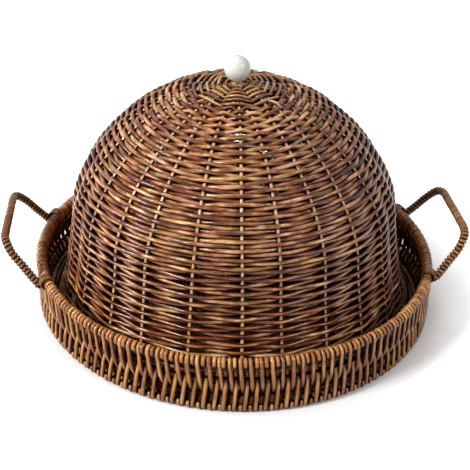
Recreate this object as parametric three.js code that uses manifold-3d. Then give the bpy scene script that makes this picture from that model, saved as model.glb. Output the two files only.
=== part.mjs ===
// Domed woven basket: a round handled tray with a tall dome lid that stands in it.
// Millimetres, +Z up, origin under the middle of the tray, handles on the X axis.
import * as THREE from "three";
import Module from "manifold-3d";
import { mergeVertices } from "three/addons/utils/BufferGeometryUtils.js";

const wasm = await Module();
wasm.setup();

// Driving dimensions
const gap = 0.3; // clearance between pieces that touch
const roundSides = 60; // facets of the tray's round pieces
const smallSides = 24; // facets of the crown, knob and other small round pieces

const rimRadius = 195; // middle of the wrapped rim
const rimThickness = 10; // across the wrapped rim
const trayHeight = 57.5; // table to the top of the rim
const wallThickness = 9.2; // outer strands, ring and inner strands together
const wallStrandCount = 270; // half of them lie outside above the crossing, half below it
const wallSkin = 0.6; // left behind the grooves between the outer strands
const wallCrossing = 3; // left smooth where the strands change sides
const ridgeInset = 0.03; // strands lie this far inside the wall's flats
const ringThickness = 3.2; // stick rings inside the wall and the rim
const lowerRingHeight = 18;
const upperRingHeight = 35;
const floorThickness = 6;
const floorSpokeCount = 8;
const floorSpokeThickness = 3.6;
const floorCrossRadius = 20;
const floorEdgeMargin = 5; // floor weave left outside the spoke ends

const handleThickness = 8; // across the wrapping
const handleCoreThickness = 3.6;
const handleFootHalfSpan = 64; // between the two legs at the rim, halved
const handleBarHalfSpan = 52; // the outer bar, halved
const handleReach = 33; // how far the bar stands outside the leg ends
const handleRise = 43; // how far the bar stands above the leg ends
const handleDrop = 6.5; // leg ends below the middle of the rim
const handleCornerRadius = 20;
const handleCoreProud = 2.5; // core showing beyond the wrapping at each end
const lashingWidth = 15;
const lashingThickness = 1.6;
const lashingSpan = 300; // degrees of the rim's section that a lashing covers

const lidClearance = 11.4; // between the wall and the foot of the dome, all round
const lidTurn = -3.2; // degrees that the lid stands turned in the tray
const domeShoulder = 105.5; // height at which the sides begin to flare
const domeTop = 231;
const domeTopPower = 1.55; // how full the top is
const domeFlare = 18.5; // how much wider the foot is than the shoulder
const domeFlarePower = 1.25;
const weaveThickness = 5;
const weaveRelief = 3.2; // from a weaver that passes over a stake back to the stake
const rowPitch = 4.03; // from one weaver to the next, up the dome
const rowFirst = 2.8; // from the foot of the weave to the lowest weaver
const stakeCount = 24;
const stakeThickness = 3.5;
const hoopThickness = 5;
const crownRadius = 38;
const crownDepth = 10; // from the dome's top to the underside of the crown
const crossThickness = 3.4;
const crossArmCount = 8;
const crossArmWidth = 9;

const knobDiameter = 25;
const knobFootRadius = 4.5;
const knobSeatRadius = 10;
const knobSeatDrop = 1.4; // from the dome's top to the flat that the knob sits on
const knobFootHeight = 0.1; // added under the ball's own lowest point
const screwDiameter = 4;
const screwGrip = 8; // thread inside the ball
const screwHeadRadius = 4;
const screwHeadHeight = 2.6;
const washerRadius = 11;
const washerThickness = 1.6;

// Values that follow from them
const rimHeight = trayHeight - rimThickness / 2;
const wallOuter = rimRadius + wallThickness / 2;
const wallInner = rimRadius - wallThickness / 2;
const channel = ringThickness / 2 + gap;
const facetSlack = rimRadius * (1 - Math.cos(Math.PI / roundSides)); // flats lie this far inside
const domeSides = 2 * stakeCount; // one facet edge at each stake, one between
const domeRadius = wallInner - lidClearance - domeFlare; // at the shoulder
const domeFoot = floorThickness + gap + hoopThickness + gap;
const stakeDepth = weaveThickness + 2 * gap + stakeThickness / 2; // dome's outer line to a stake's middle
const crownUnderside = domeTop - crownDepth;
const knobSeatHeight = domeTop - knobSeatDrop;
const ballCentre = knobSeatHeight + gap + knobFootHeight + knobDiameter / 2;

const colours = {
  rattan: { color: 0x8a5c38, roughness: 0.6, metalness: 0 },
  wrap: { color: 0xa87848, roughness: 0.55, metalness: 0 },
  stick: { color: 0xb98a58, roughness: 0.6, metalness: 0 },
  white: { color: 0xf0efea, roughness: 0.3, metalness: 0 },
  steel: { color: 0xb8bcc0, roughness: 0.35, metalness: 1 },
};

const basket = new THREE.Group();
const tray = new THREE.Group();
const lid = new THREE.Group();
lid.rotation.z = (lidTurn * Math.PI) / 180;
basket.add(tray, lid);

function add(group, name, geometry, finish) {
  const mesh = new THREE.Mesh(geometry, new THREE.MeshStandardMaterial(colours[finish]));
  mesh.name = name;
  group.add(mesh);
  return mesh;
}

// Solids of revolution about +Z. A closed ring repeats its first point at the end.
function turned(profile, sides) {
  const points = profile.map(([r, z]) => new THREE.Vector2(r, z));
  const geometry = new THREE.LatheGeometry(points, sides);
  geometry.rotateX(Math.PI / 2);
  return geometry;
}

// A ring of round stick, its section turned so that flats face up and down.
function stickRing(radius, height, thickness) {
  const sectionSides = 6;
  const profile = [];
  for (let i = 0; i <= sectionSides; i += 1) {
    const angle = ((i + 0.5) / sectionSides) * 2 * Math.PI;
    profile.push([
      radius + (thickness / 2) * Math.cos(angle),
      height + (thickness / 2) * Math.sin(angle),
    ]);
  }
  profile[sectionSides] = profile[0];
  return turned(profile, roundSides);
}

function circle(radius, sides) {
  const points = [];
  for (let i = 0; i < sides; i += 1) {
    const angle = ((i + 0.5) / sides) * 2 * Math.PI;
    points.push(new THREE.Vector2(radius * Math.cos(angle), radius * Math.sin(angle)));
  }
  return points;
}

function sweep(section, path, steps) {
  return new THREE.ExtrudeGeometry(section, { steps, bevelEnabled: false, extrudePath: path });
}

// Booleans: geometry to solid and back
function solid(geometry) {
  const bare = (geometry.index ? geometry.toNonIndexed() : geometry).clone();
  bare.deleteAttribute("normal");
  bare.deleteAttribute("uv");
  const merged = mergeVertices(bare, 1e-4);
  return new wasm.Manifold(
    new wasm.Mesh({
      numProp: 3,
      vertProperties: Float32Array.from(merged.attributes.position.array),
      triVerts: Uint32Array.from(merged.index.array),
    }),
  );
}

function surface(body) {
  const mesh = body.getMesh();
  const geometry = new THREE.BufferGeometry();
  geometry.setAttribute("position", new THREE.BufferAttribute(mesh.vertProperties, 3));
  geometry.setIndex(new THREE.BufferAttribute(mesh.triVerts, 1));
  geometry.computeVertexNormals();
  return geometry;
}

// Tray floor: a woven disc whose upper side holds the spokes and the centre cross
function trayFloor() {
  const discRadius = wallInner - gap;
  const spokeEnd = discRadius - floorEdgeMargin;
  const grooveDepth = floorSpokeThickness + gap;
  const grooveBottom = floorThickness - grooveDepth;
  const disc = turned(
    [[0, 0], [discRadius, 0], [discRadius, floorThickness], [0, floorThickness]],
    roundSides,
  );
  let floor = solid(disc);
  const overcut = 1;
  const pocket = new THREE.CylinderGeometry(
    floorCrossRadius + gap,
    floorCrossRadius + gap,
    grooveDepth + overcut,
    smallSides,
  );
  pocket.rotateX(Math.PI / 2);
  pocket.translate(0, 0, grooveBottom + (grooveDepth + overcut) / 2);
  floor = floor.subtract(solid(pocket));

  const spokeStart = floorCrossRadius + gap;
  const spokeLength = spokeEnd - spokeStart;
  const section = new THREE.Shape(circle(floorSpokeThickness / 2, 8));
  for (let i = 0; i < floorSpokeCount; i += 1) {
    const angle = (i / floorSpokeCount) * 2 * Math.PI;
    const groove = new THREE.BoxGeometry(
      spokeLength + 2 * gap,
      floorSpokeThickness + 2 * gap,
      grooveDepth + overcut,
    );
    groove.translate(spokeStart + spokeLength / 2, 0, grooveBottom + (grooveDepth + overcut) / 2);
    groove.rotateZ(angle);
    floor = floor.subtract(solid(groove));

    const spoke = new THREE.ExtrudeGeometry(section, { depth: spokeLength - gap, bevelEnabled: false });
    spoke.rotateY(Math.PI / 2);
    spoke.translate(spokeStart + gap, 0, floorThickness - floorSpokeThickness / 2);
    add(tray, `floor_spoke_${i + 1}`, spoke, "stick").rotation.z = angle;
  }
  add(tray, "tray_floor_weave", surface(floor), "rattan");

  const cross = new THREE.CylinderGeometry(
    floorCrossRadius,
    floorCrossRadius,
    floorSpokeThickness,
    smallSides,
  );
  cross.rotateX(Math.PI / 2);
  cross.translate(0, 0, floorThickness - floorSpokeThickness / 2);
  add(tray, "floor_centre_cross", cross, "stick");
}

// The grooves between outer strands as one ring with a star for its hole, from bottom to top
function strandGrooves(bottom, top, turn) {
  const ridge = wallOuter * Math.cos(Math.PI / roundSides) - ridgeInset;
  const valley = rimRadius + channel + wallSkin;
  const star = [];
  for (let i = 0; i < wallStrandCount; i += 1) {
    const angle = ((i + turn) / wallStrandCount) * 2 * Math.PI;
    const radius = i % 2 ? valley : ridge;
    star.push(new THREE.Vector2(radius * Math.cos(angle), radius * Math.sin(angle)));
  }
  const ring = new THREE.Shape(circle(wallOuter + rimThickness, roundSides));
  ring.holes.push(new THREE.Path(star));
  const geometry = new THREE.ExtrudeGeometry(ring, { depth: top - bottom, bevelEnabled: false });
  geometry.translate(0, 0, bottom);
  return solid(geometry);
}

// Tray wall: strands up the outside, over the rim and down the inside, round the stick rings.
// Above the crossing one half of them shows outside, and below it the other half, between those.
function trayWall() {
  const arcSteps = 6;
  const half = wallThickness / 2;
  const tube = rimThickness / 2;
  const startAngle = -Math.acos(half / tube);
  const profile = [[wallOuter, 0]];
  for (let i = 0; i <= arcSteps; i += 1) {
    const angle = startAngle + (i / arcSteps) * (Math.PI - 2 * startAngle);
    profile.push([rimRadius + tube * Math.cos(angle), rimHeight + tube * Math.sin(angle)]);
  }
  profile.push([wallInner, 0]);
  profile.push([rimRadius - channel, 0]);
  profile.push([rimRadius - channel, rimHeight + channel]);
  profile.push([rimRadius + channel, rimHeight + channel]);
  profile.push([rimRadius + channel, 0]);
  profile.push(profile[0]);
  const crossing = (lowerRingHeight + upperRingHeight) / 2;
  const rimStart = rimHeight + tube * Math.sin(startAngle);
  const overcut = 1;
  const lowGrooves = strandGrooves(-overcut, crossing - wallCrossing / 2, 1);
  const highGrooves = strandGrooves(crossing + wallCrossing / 2, rimStart, 0);
  const wall = solid(turned(profile, roundSides)).subtract(lowGrooves).subtract(highGrooves);
  add(tray, "tray_wall_weave", surface(wall), "rattan");

  add(tray, "rim_core", stickRing(rimRadius, rimHeight, ringThickness), "stick");
  add(tray, "wall_ring_upper", stickRing(rimRadius, upperRingHeight, ringThickness), "stick");
  add(tray, "wall_ring_lower", stickRing(rimRadius, lowerRingHeight, ringThickness), "stick");
  add(tray, "base_ring", stickRing(rimRadius, ringThickness / 2 + gap, ringThickness), "stick");
}

// The two handles: a bent stick, its wrapping, and a lashing at each leg
function handlePath(shorten) {
  const clear = rimThickness / 2 + handleThickness / 2 + gap;
  const slope = Math.atan2(handleRise, handleReach);
  const rimX = Math.sqrt(rimRadius ** 2 - handleFootHalfSpan ** 2);
  const footRadial = (clear - handleDrop * Math.cos(slope)) / Math.sin(slope);
  const footX = rimX + footRadial / Math.cos(Math.asin(handleFootHalfSpan / rimRadius));
  const foot = new THREE.Vector3(footX, -handleFootHalfSpan, rimHeight - handleDrop);
  const corner = new THREE.Vector3(
    footX + handleReach,
    -handleBarHalfSpan,
    rimHeight - handleDrop + handleRise,
  );
  const mirror = (point) => new THREE.Vector3(point.x, -point.y, point.z);
  const leg = new THREE.Vector3().subVectors(corner, foot).normalize();
  const start = foot.clone().addScaledVector(leg, shorten);
  const bendIn = corner.clone().addScaledVector(leg, -handleCornerRadius);
  const bendOut = corner.clone().add(new THREE.Vector3(0, handleCornerRadius, 0));
  const path = new THREE.CurvePath();
  path.add(new THREE.LineCurve3(start, bendIn));
  path.add(new THREE.QuadraticBezierCurve3(bendIn, corner, bendOut));
  path.add(new THREE.LineCurve3(bendOut, mirror(bendOut)));
  path.add(new THREE.QuadraticBezierCurve3(mirror(bendOut), mirror(corner), mirror(bendIn)));
  path.add(new THREE.LineCurve3(mirror(bendIn), mirror(start)));
  return { path, foot, leg };
}

function lashing(foot, leg) {
  const inner = rimThickness / 2 + 2 * gap;
  const outer = inner + lashingThickness;
  const span = (lashingSpan * Math.PI) / 180;
  const middle = Math.PI / 2;
  const band = new THREE.Shape();
  band.absarc(0, 0, outer, middle - span / 2, middle + span / 2, false);
  band.absarc(0, 0, inner, middle + span / 2, middle - span / 2, true);
  const geometry = new THREE.ExtrudeGeometry(band, {
    depth: lashingWidth,
    bevelEnabled: false,
    curveSegments: 12,
  });
  geometry.translate(0, 0, -lashingWidth / 2);
  geometry.rotateX(Math.PI / 2);
  const angle = -Math.asin(handleFootHalfSpan / rimRadius);
  geometry.translate(rimRadius, 0, rimHeight);
  geometry.rotateZ(angle);

  const wallCutWidth = wallThickness + 2 * (gap + facetSlack);
  const wallCut = new THREE.BoxGeometry(wallCutWidth, 2 * lashingWidth, rimThickness);
  wallCut.translate(rimRadius, 0, rimHeight - rimThickness / 2);
  wallCut.rotateZ(angle);

  const legLength = 2 * (rimThickness + handleThickness);
  const legHole = new THREE.CylinderGeometry(
    handleThickness / 2 + gap,
    handleThickness / 2 + gap,
    legLength,
    12,
  );
  const turn = new THREE.Quaternion().setFromUnitVectors(new THREE.Vector3(0, 1, 0), leg);
  legHole.applyQuaternion(turn);
  legHole.translate(foot.x, foot.y, foot.z);
  return surface(solid(geometry).subtract(solid(wallCut)).subtract(solid(legHole)));
}

function handles() {
  const wrapping = new THREE.Shape(circle(handleThickness / 2, 8));
  wrapping.holes.push(new THREE.Path(circle(handleCoreThickness / 2 + 2 * gap, 6)));
  const core = new THREE.Shape(circle(handleCoreThickness / 2, 6));
  const steps = 22;
  const whole = handlePath(0);
  const wrapped = handlePath(handleCoreProud);
  const wrapGeometry = sweep(wrapping, wrapped.path, steps);
  const coreGeometry = sweep(core, whole.path, steps);
  const front = lashing(whole.foot, whole.leg);
  for (const [side, turn] of [["right", 0], ["left", Math.PI]]) {
    add(tray, `handle_${side}_wrap`, wrapGeometry, "wrap").rotation.z = turn;
    add(tray, `handle_${side}_core`, coreGeometry, "stick").rotation.z = turn;
  }
  const back = surface(solid(front).mirror([0, 1, 0]));
  add(tray, "lashing_right_front", front, "wrap");
  add(tray, "lashing_right_back", back, "wrap");
  add(tray, "lashing_left_back", front, "wrap").rotation.z = Math.PI;
  add(tray, "lashing_left_front", back, "wrap").rotation.z = Math.PI;
}

// Outer line of the dome from the foot to the top, as [radius, height]
function domeRadiusAt(z) {
  if (z <= domeShoulder) {
    const drop = (domeShoulder - z) / domeShoulder;
    return domeRadius + domeFlare * drop ** domeFlarePower;
  }
  const rise = (z - domeShoulder) / (domeTop - domeShoulder);
  return domeRadius * Math.sqrt(1 - rise ** domeTopPower);
}

function domeHeightAt(r) {
  const rise = (1 - (r / domeRadius) ** 2) ** (1 / domeTopPower);
  return domeShoulder + (domeTop - domeShoulder) * rise;
}

function domeLine(depth, lowSteps = 4, highSteps = 10) {
  const line = [];
  for (let i = 0; i < lowSteps; i += 1) {
    const z = domeFoot + (i / lowSteps) * (domeShoulder - domeFoot);
    line.push([domeRadiusAt(z), z]);
  }
  for (let i = 0; i <= highSteps; i += 1) {
    const sweepAngle = (i / highSteps) * Math.acos(crownRadius / domeRadius);
    const r = domeRadius * Math.cos(sweepAngle);
    line.push([r, domeHeightAt(r)]);
  }
  return line.map((point, i) => {
    const before = line[Math.max(i - 1, 0)];
    const after = line[Math.min(i + 1, line.length - 1)];
    const along = Math.hypot(after[0] - before[0], after[1] - before[1]);
    const normal = [(after[1] - before[1]) / along, -(after[0] - before[0]) / along];
    return [point[0] - depth * normal[0], point[1] - depth * normal[1]];
  });
}

// The weave: a ring of points for each weaver, which stands out where the weaver passes over a
// stake. The weaver above does so at the stakes between.
function domeWeave() {
  const fineLine = domeLine(0, 30, 60).map(([r, z]) => new THREE.Vector2(r, z));
  const line = new THREE.SplineCurve(fineLine);
  const whole = line.getLength();
  const shares = [0];
  for (let length = rowFirst; length < whole - rowPitch / 2; length += rowPitch) {
    shares.push(length / whole);
  }
  shares.push(1);
  const ways = shares.map((share) => {
    const along = line.getTangentAt(share);
    return new THREE.Vector2(along.y, -along.x);
  });
  const outer = shares.map((share, row) => {
    return line.getPointAt(share).addScaledVector(ways[row], -weaveRelief).toArray();
  });
  const inner = domeLine(weaveThickness);
  const edgeRadius = crownRadius + gap;
  outer[outer.length - 1][0] = edgeRadius;
  inner[inner.length - 1][0] = edgeRadius;
  outer[0][1] = domeFoot;
  inner[0][1] = domeFoot;

  const profile = [...outer, ...inner.reverse(), outer[0]];
  const weave = turned(profile, domeSides);
  const { position } = weave.attributes;
  for (let side = 0; side <= domeSides; side += 1) {
    for (let row = 1; row < outer.length - 1; row += 1) {
      const over = ((side % domeSides) + 2 * row) % 4 === 0;
      if (over) {
        const i = side * profile.length + row;
        const wider = 1 + (weaveRelief * ways[row].x) / outer[row][0];
        const higher = weaveRelief * ways[row].y;
        position.setXYZ(
          i,
          position.getX(i) * wider,
          position.getY(i) * wider,
          position.getZ(i) + higher,
        );
      }
    }
  }
  weave.computeVertexNormals();
  return weave;
}

// Dome lid: weave, stakes behind it, and the hoop that it stands on
function dome() {
  add(lid, "dome_weave", domeWeave(), "rattan");

  const points = domeLine(stakeDepth).map(([r, z]) => new THREE.Vector3(r, 0, z));
  points[0].z = domeFoot + gap;
  const path = new THREE.CatmullRomCurve3(points);
  const stake = sweep(new THREE.Shape(circle(stakeThickness / 2, 6)), path, 11);
  for (let i = 0; i < stakeCount; i += 1) {
    const mesh = add(lid, `dome_stake_${String(i + 1).padStart(2, "0")}`, stake, "stick");
    mesh.rotation.z = (i / stakeCount) * 2 * Math.PI;
  }

  const hoopRadius = domeRadiusAt(domeFoot) - weaveThickness / 2;
  const hoopHeight = floorThickness + gap + hoopThickness / 2;
  add(lid, "dome_hoop", stickRing(hoopRadius, hoopHeight, hoopThickness), "wrap");
}

// Crown: the twined start of the dome, over crossed bundles of sticks
function crown() {
  const bore = screwDiameter / 2 + gap;
  const edge = crownRadius;
  const profile = [[bore, crownUnderside], [edge, crownUnderside]];
  const rings = 4;
  for (let i = 0; i <= rings; i += 1) {
    const r = edge + (i / rings) * (knobSeatRadius - edge);
    profile.push([r, domeHeightAt(r)]);
  }
  profile.push([knobSeatRadius, knobSeatHeight]);
  profile.push([bore, knobSeatHeight]);
  profile.push(profile[0]);
  add(lid, "crown_weave", turned(profile, smallSides), "rattan");

  const stakeEnd = domeLine(stakeDepth).pop()[0];
  const length = 2 * (stakeEnd - 3 * gap);
  const top = crownUnderside - gap;
  let cross = null;
  for (let i = 0; i < crossArmCount / 2; i += 1) {
    const arm = new THREE.BoxGeometry(length, crossArmWidth, crossThickness);
    arm.rotateZ((i / crossArmCount) * 2 * Math.PI);
    arm.translate(0, 0, top - crossThickness / 2);
    cross = cross ? cross.add(solid(arm)) : solid(arm);
  }
  const hole = new THREE.CylinderGeometry(bore, bore, 2 * crossThickness, 16);
  hole.rotateX(Math.PI / 2);
  hole.translate(0, 0, top - crossThickness / 2);
  add(lid, "crown_cross", surface(cross.subtract(solid(hole))), "stick");
}

// Ball knob, its screw and the washer under the crown
function knob() {
  const radius = knobDiameter / 2;
  const bore = screwDiameter / 2 + gap;
  const footBottom = knobSeatHeight + gap;
  const boreTop = footBottom + screwGrip + gap;
  const arcStart = Math.asin(knobFootRadius / radius);
  const arcSteps = 11;
  const profile = [[0, boreTop], [bore, boreTop], [bore, footBottom], [knobFootRadius, footBottom]];
  for (let i = 0; i <= arcSteps; i += 1) {
    const angle = arcStart + (i / arcSteps) * (Math.PI - arcStart);
    profile.push([radius * Math.sin(angle), ballCentre - radius * Math.cos(angle)]);
  }
  profile[profile.length - 1][0] = 0;
  add(lid, "knob_ball", turned(profile, smallSides), "white");

  const washerTop = crownUnderside - crossThickness - 2 * gap;
  const washerBottom = washerTop - washerThickness;
  const washer = [
    [bore, washerBottom],
    [washerRadius, washerBottom],
    [washerRadius, washerTop],
    [bore, washerTop],
    [bore, washerBottom],
  ];
  add(lid, "knob_washer", turned(washer, smallSides), "steel");

  const headTop = washerBottom - gap;
  const shank = screwDiameter / 2;
  const screw = [
    [0, headTop - screwHeadHeight],
    [screwHeadRadius * 0.7, headTop - screwHeadHeight],
    [screwHeadRadius, headTop - screwHeadHeight / 2],
    [screwHeadRadius, headTop],
    [shank, headTop],
    [shank, footBottom + screwGrip],
    [0, footBottom + screwGrip],
  ];
  add(lid, "knob_screw", turned(screw, smallSides / 2), "steel");
}

trayFloor();
trayWall();
handles();
dome();
crown();
knob();

export default basket;
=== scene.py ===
import math

import bmesh
import bpy
import numpy as np
from mathutils import Matrix, Vector


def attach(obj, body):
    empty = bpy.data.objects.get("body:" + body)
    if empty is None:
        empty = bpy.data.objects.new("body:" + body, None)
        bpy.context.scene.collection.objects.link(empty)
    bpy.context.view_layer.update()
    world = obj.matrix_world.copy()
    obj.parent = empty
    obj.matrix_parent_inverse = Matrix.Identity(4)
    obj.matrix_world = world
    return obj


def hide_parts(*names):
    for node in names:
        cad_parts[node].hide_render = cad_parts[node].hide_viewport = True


# Looks of a domed woven food basket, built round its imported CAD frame.
# Metres, +Z up, origin under the middle of the tray, handles on the X axis.

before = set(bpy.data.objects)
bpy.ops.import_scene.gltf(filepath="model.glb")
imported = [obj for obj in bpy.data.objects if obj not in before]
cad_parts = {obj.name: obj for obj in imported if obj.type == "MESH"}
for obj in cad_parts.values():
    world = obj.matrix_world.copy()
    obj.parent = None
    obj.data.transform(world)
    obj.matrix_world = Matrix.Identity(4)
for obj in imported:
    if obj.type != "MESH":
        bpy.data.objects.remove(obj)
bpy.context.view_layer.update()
scene = bpy.context.scene


# Camera
# It stands a metre away and looks down by 31 degrees, turned a little from the front of the
# basket and rolled by a degree, as the photograph was taken.
camera_distance = 1.0
camera_drop = math.radians(30.8)
camera_turn = math.radians(-4.78)
camera_roll = math.radians(-1.2)
camera_aim = Vector((0.00093, 0.0, 0.063))
camera_lens = 75.2
camera_sensor = 36
camera_far_end = 20

level_right = Vector((1, 0, 0))
level_up = Vector((0, math.sin(camera_drop), math.cos(camera_drop)))
backward = Vector((0, -math.cos(camera_drop), math.sin(camera_drop)))
right = math.cos(camera_roll) * level_right - math.sin(camera_roll) * level_up
up = math.sin(camera_roll) * level_right + math.cos(camera_roll) * level_up
camera_data = bpy.data.cameras.new("camera")
camera_data.lens = camera_lens
camera_data.sensor_width = camera_sensor
camera_data.clip_end = camera_far_end
camera = bpy.data.objects.new("camera", camera_data)
scene.collection.objects.link(camera)
facing = Matrix((right, up, backward)).transposed().to_4x4()
place = Matrix.Translation(camera_aim + backward * camera_distance)
camera.matrix_world = Matrix.Rotation(camera_turn, 4, "Z") @ place @ facing
scene.camera = camera


# Light
# A white studio: faint even light all round, a strong lamp at the front left, a weak one at the
# front right, one from above, and one low at the left for the gloss on that side of the dome.
# To the eye, and in a gloss, the studio is plain white.
world_strength = 0.14
world_seen = 1.0
lamp_aim = Vector((0, 0, 0.1))
lamps = [
    # place, width, height, watts
    ((-1.75, -1.0, 1.55), 0.7, 0.25, 58),
    ((1.5, -1.2, 1.4), 0.8, 0.4, 18),
    ((-0.2, 0.9, 2.2), 0.8, 0.8, 6),
    ((-1.9, 0.3, 1.0), 0.6, 0.25, 16),
]


# One for rays that the eye, a gloss or a clear surface sends out, zero for plain light
def seen_rays(nodes, links):
    path = nodes.new("ShaderNodeLightPath")
    seen = path.outputs["Is Camera Ray"]
    for kind in ("Is Glossy Ray", "Is Transmission Ray"):
        either = nodes.new("ShaderNodeMath")
        either.operation = "MAXIMUM"
        links.new(seen, either.inputs[0])
        links.new(path.outputs[kind], either.inputs[1])
        seen = either.outputs["Value"]
    return seen


world = bpy.data.worlds.new("studio")
scene.world = world
world.use_nodes = True
nodes = world.node_tree.nodes
links = world.node_tree.links
nodes.clear()
strength = nodes.new("ShaderNodeMapRange")
strength.inputs["To Min"].default_value = world_strength
strength.inputs["To Max"].default_value = world_seen
background = nodes.new("ShaderNodeBackground")
background.inputs["Color"].default_value = (1, 1, 1, 1)
world_output = nodes.new("ShaderNodeOutputWorld")
links.new(seen_rays(nodes, links), strength.inputs["Value"])
links.new(strength.outputs["Result"], background.inputs["Strength"])
links.new(background.outputs["Background"], world_output.inputs["Surface"])

for number, (place, width, height, watts) in enumerate(lamps):
    lamp_data = bpy.data.lights.new(f"lamp_{number + 1}", "AREA")
    lamp_data.shape = "ELLIPSE"
    lamp_data.size = width
    lamp_data.size_y = height
    lamp_data.energy = watts
    lamp = bpy.data.objects.new(lamp_data.name, lamp_data)
    lamp.location = place
    lamp.rotation_euler = (lamp_aim - Vector(place)).to_track_quat("-Z", "Y").to_euler()
    scene.collection.objects.link(lamp)

scene.view_settings.view_transform = "Standard"


# Table
# A plain white table, which keeps the soft shadow of the basket. It is white to the eye, and
# throws back little light, so that the undersides of the canes stay dark. Away from the basket
# it shines by itself, so that the shadow fades out into white.
table_half = 6.0
table_drop = 0.0005
table_seen = (0.9, 0.9, 0.9, 1)
table_thrown_back = (0.15, 0.15, 0.15, 1)
table_roughness = 0.8
table_shine = 0.87
shadow_full_to = 0.195
shadow_gone_at = 0.28
mesh = bpy.data.meshes.new("table")
bm = bmesh.new()
bmesh.ops.create_grid(bm, x_segments=1, y_segments=1, size=table_half)
bmesh.ops.translate(bm, verts=bm.verts, vec=(0, 0, -table_drop))
bm.to_mesh(mesh)
bm.free()
table = bpy.data.objects.new("table", mesh)
scene.collection.objects.link(table)
white = bpy.data.materials.new("table_white")
white.use_nodes = True
nodes = white.node_tree.nodes
links = white.node_tree.links
surface = nodes["Principled BSDF"]
surface.inputs["Roughness"].default_value = table_roughness
paint = nodes.new("ShaderNodeMix")
paint.data_type = "RGBA"
paint.inputs["A"].default_value = table_thrown_back
paint.inputs["B"].default_value = table_seen
seen = seen_rays(nodes, links)
links.new(seen, paint.inputs["Factor"])
links.new(paint.outputs["Result"], surface.inputs["Base Color"])
place = nodes.new("ShaderNodeTexCoord")
away = nodes.new("ShaderNodeVectorMath")
away.operation = "LENGTH"
links.new(place.outputs["Object"], away.inputs[0])
glow = nodes.new("ShaderNodeMapRange")
glow.inputs["From Min"].default_value = shadow_full_to
glow.inputs["From Max"].default_value = shadow_gone_at
glow.inputs["To Max"].default_value = table_shine
links.new(away.outputs["Value"], glow.inputs["Value"])
seen_glow = nodes.new("ShaderNodeMath")
seen_glow.operation = "MULTIPLY"
links.new(seen, seen_glow.inputs[0])
links.new(glow.outputs["Result"], seen_glow.inputs[1])
surface.inputs["Emission Color"].default_value = (1, 1, 1, 1)
links.new(seen_glow.outputs["Value"], surface.inputs["Emission Strength"])
mesh.materials.append(white)


# Dome stakes
# Twenty-four upright canes, light tan where they show between the weavers. Each runs from the
# hoop up the side of the dome and in under the crown, where three and three lie side by side.
wall_inner = 0.1904
lid_clearance = 0.0114
lid_turn = math.radians(-3.2)
dome_flare = 0.0185
flare_power = 1.25
dome_radius = wall_inner - lid_clearance - dome_flare
dome_shoulder = 0.1055
dome_fullness = 1.55
dome_top = 0.231
dome_foot = 0.0116
side_points = 60
top_points = 180
stake_count = 24
stake_radius = 0.0017
stake_depth = 0.0051
stake_end = 0.036
stake_steps = 90
stake_sway = math.radians(0.25)
stake_sway_length = 0.035
stake_sway_step = 2.1
stake_swell = 0.04
stake_swell_length = 0.021
bundle_count = 8
stakes_per_bundle = stake_count // bundle_count
bundle_open_from = 0.036
bundle_open_to = 0.058
bundle_pitch = 0.0037


# Outer line of the dome as radius and height, from the foot to the middle of the top
def dome_outline():
    steep = np.linspace(dome_foot, dome_shoulder, side_points)
    drop = (dome_shoulder - steep) / dome_shoulder
    side_radius = dome_radius + dome_flare * drop ** flare_power
    lean = np.linspace(0, math.pi / 2, top_points)[1:]
    top_radius = dome_radius * np.cos(lean)
    top_radius[-1] = 0
    rise = (1 - (top_radius / dome_radius) ** 2) ** (1 / dome_fullness)
    top_height = dome_shoulder + (dome_top - dome_shoulder) * rise
    radius = np.concatenate([side_radius, top_radius])
    height = np.concatenate([steep, top_height])
    return radius, height


line_radius, line_height = dome_outline()
line_length = np.concatenate([[0], np.cumsum(np.hypot(np.diff(line_radius), np.diff(line_height)))])
line_out = np.gradient(line_height, line_length)
line_up = -np.gradient(line_radius, line_length)


# Points round the basket, by radius, azimuth and height
def ring_points(radius, azimuth, height):
    height = np.broadcast_to(height, azimuth.shape)
    return np.stack([radius * np.cos(azimuth), radius * np.sin(azimuth), height], -1)


# Points on the dome: how far up its line, how deep under it, and at which azimuth
def on_dome(along, depth, azimuth):
    out = np.interp(along, line_length, line_out)
    upward = np.interp(along, line_length, line_up)
    radius = np.interp(along, line_length, line_radius) - depth * out
    height = np.interp(along, line_length, line_height) - depth * upward
    return ring_points(radius, azimuth, height)


# The way out from the dome at those places
def out_of_dome(along, azimuth):
    out = np.interp(along, line_length, line_out)
    upward = np.interp(along, line_length, line_up)
    return ring_points(out, azimuth, upward)


# How far up its line the top of the dome has a radius
def length_at_radius(radius):
    return np.interp(-radius, -line_radius[side_points:], line_length[side_points:])


# Length along a run of points, from its start to each point
def length_along(points):
    steps = np.linalg.norm(np.diff(points, axis=0), axis=1)
    return np.concatenate([[0], np.cumsum(steps)])


# A smooth closed wobble round the basket, made of waves that go round it a few times each
def wobble(draw, azimuth, size, waves):
    total = np.zeros_like(azimuth)
    for wave in waves:
        total += draw.normal() * np.sin(wave * azimuth + draw.uniform(0, 2 * math.pi))
    return size * total / math.sqrt(len(waves))


# Round canes from runs of points. Each run is its points, its radii, whether it is closed, the way
# out from the middle of the weave, and how far out its points lie. Each vertex keeps its place
# in the cane, as fibre in millimetres, a shade of its own for each cane, as tone, how deep it
# lies in the weave, as sunk, and how far round the side of its cane it is, as flank. Sunk and
# flank drive the painted shade of the finish, between the canes and deep in the weave. Sunk is 1 at
# dark_depth under the middle and falls to 0 over half_weave outwards, and slower inwards. A cane
# has eight sides, and one that is thin or much repeated has six.
cane_sides = 8
fine_cane_sides = 6
to_millimetres = 1000.0
fibre_starts = 5000
inner_share = 0.8


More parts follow.
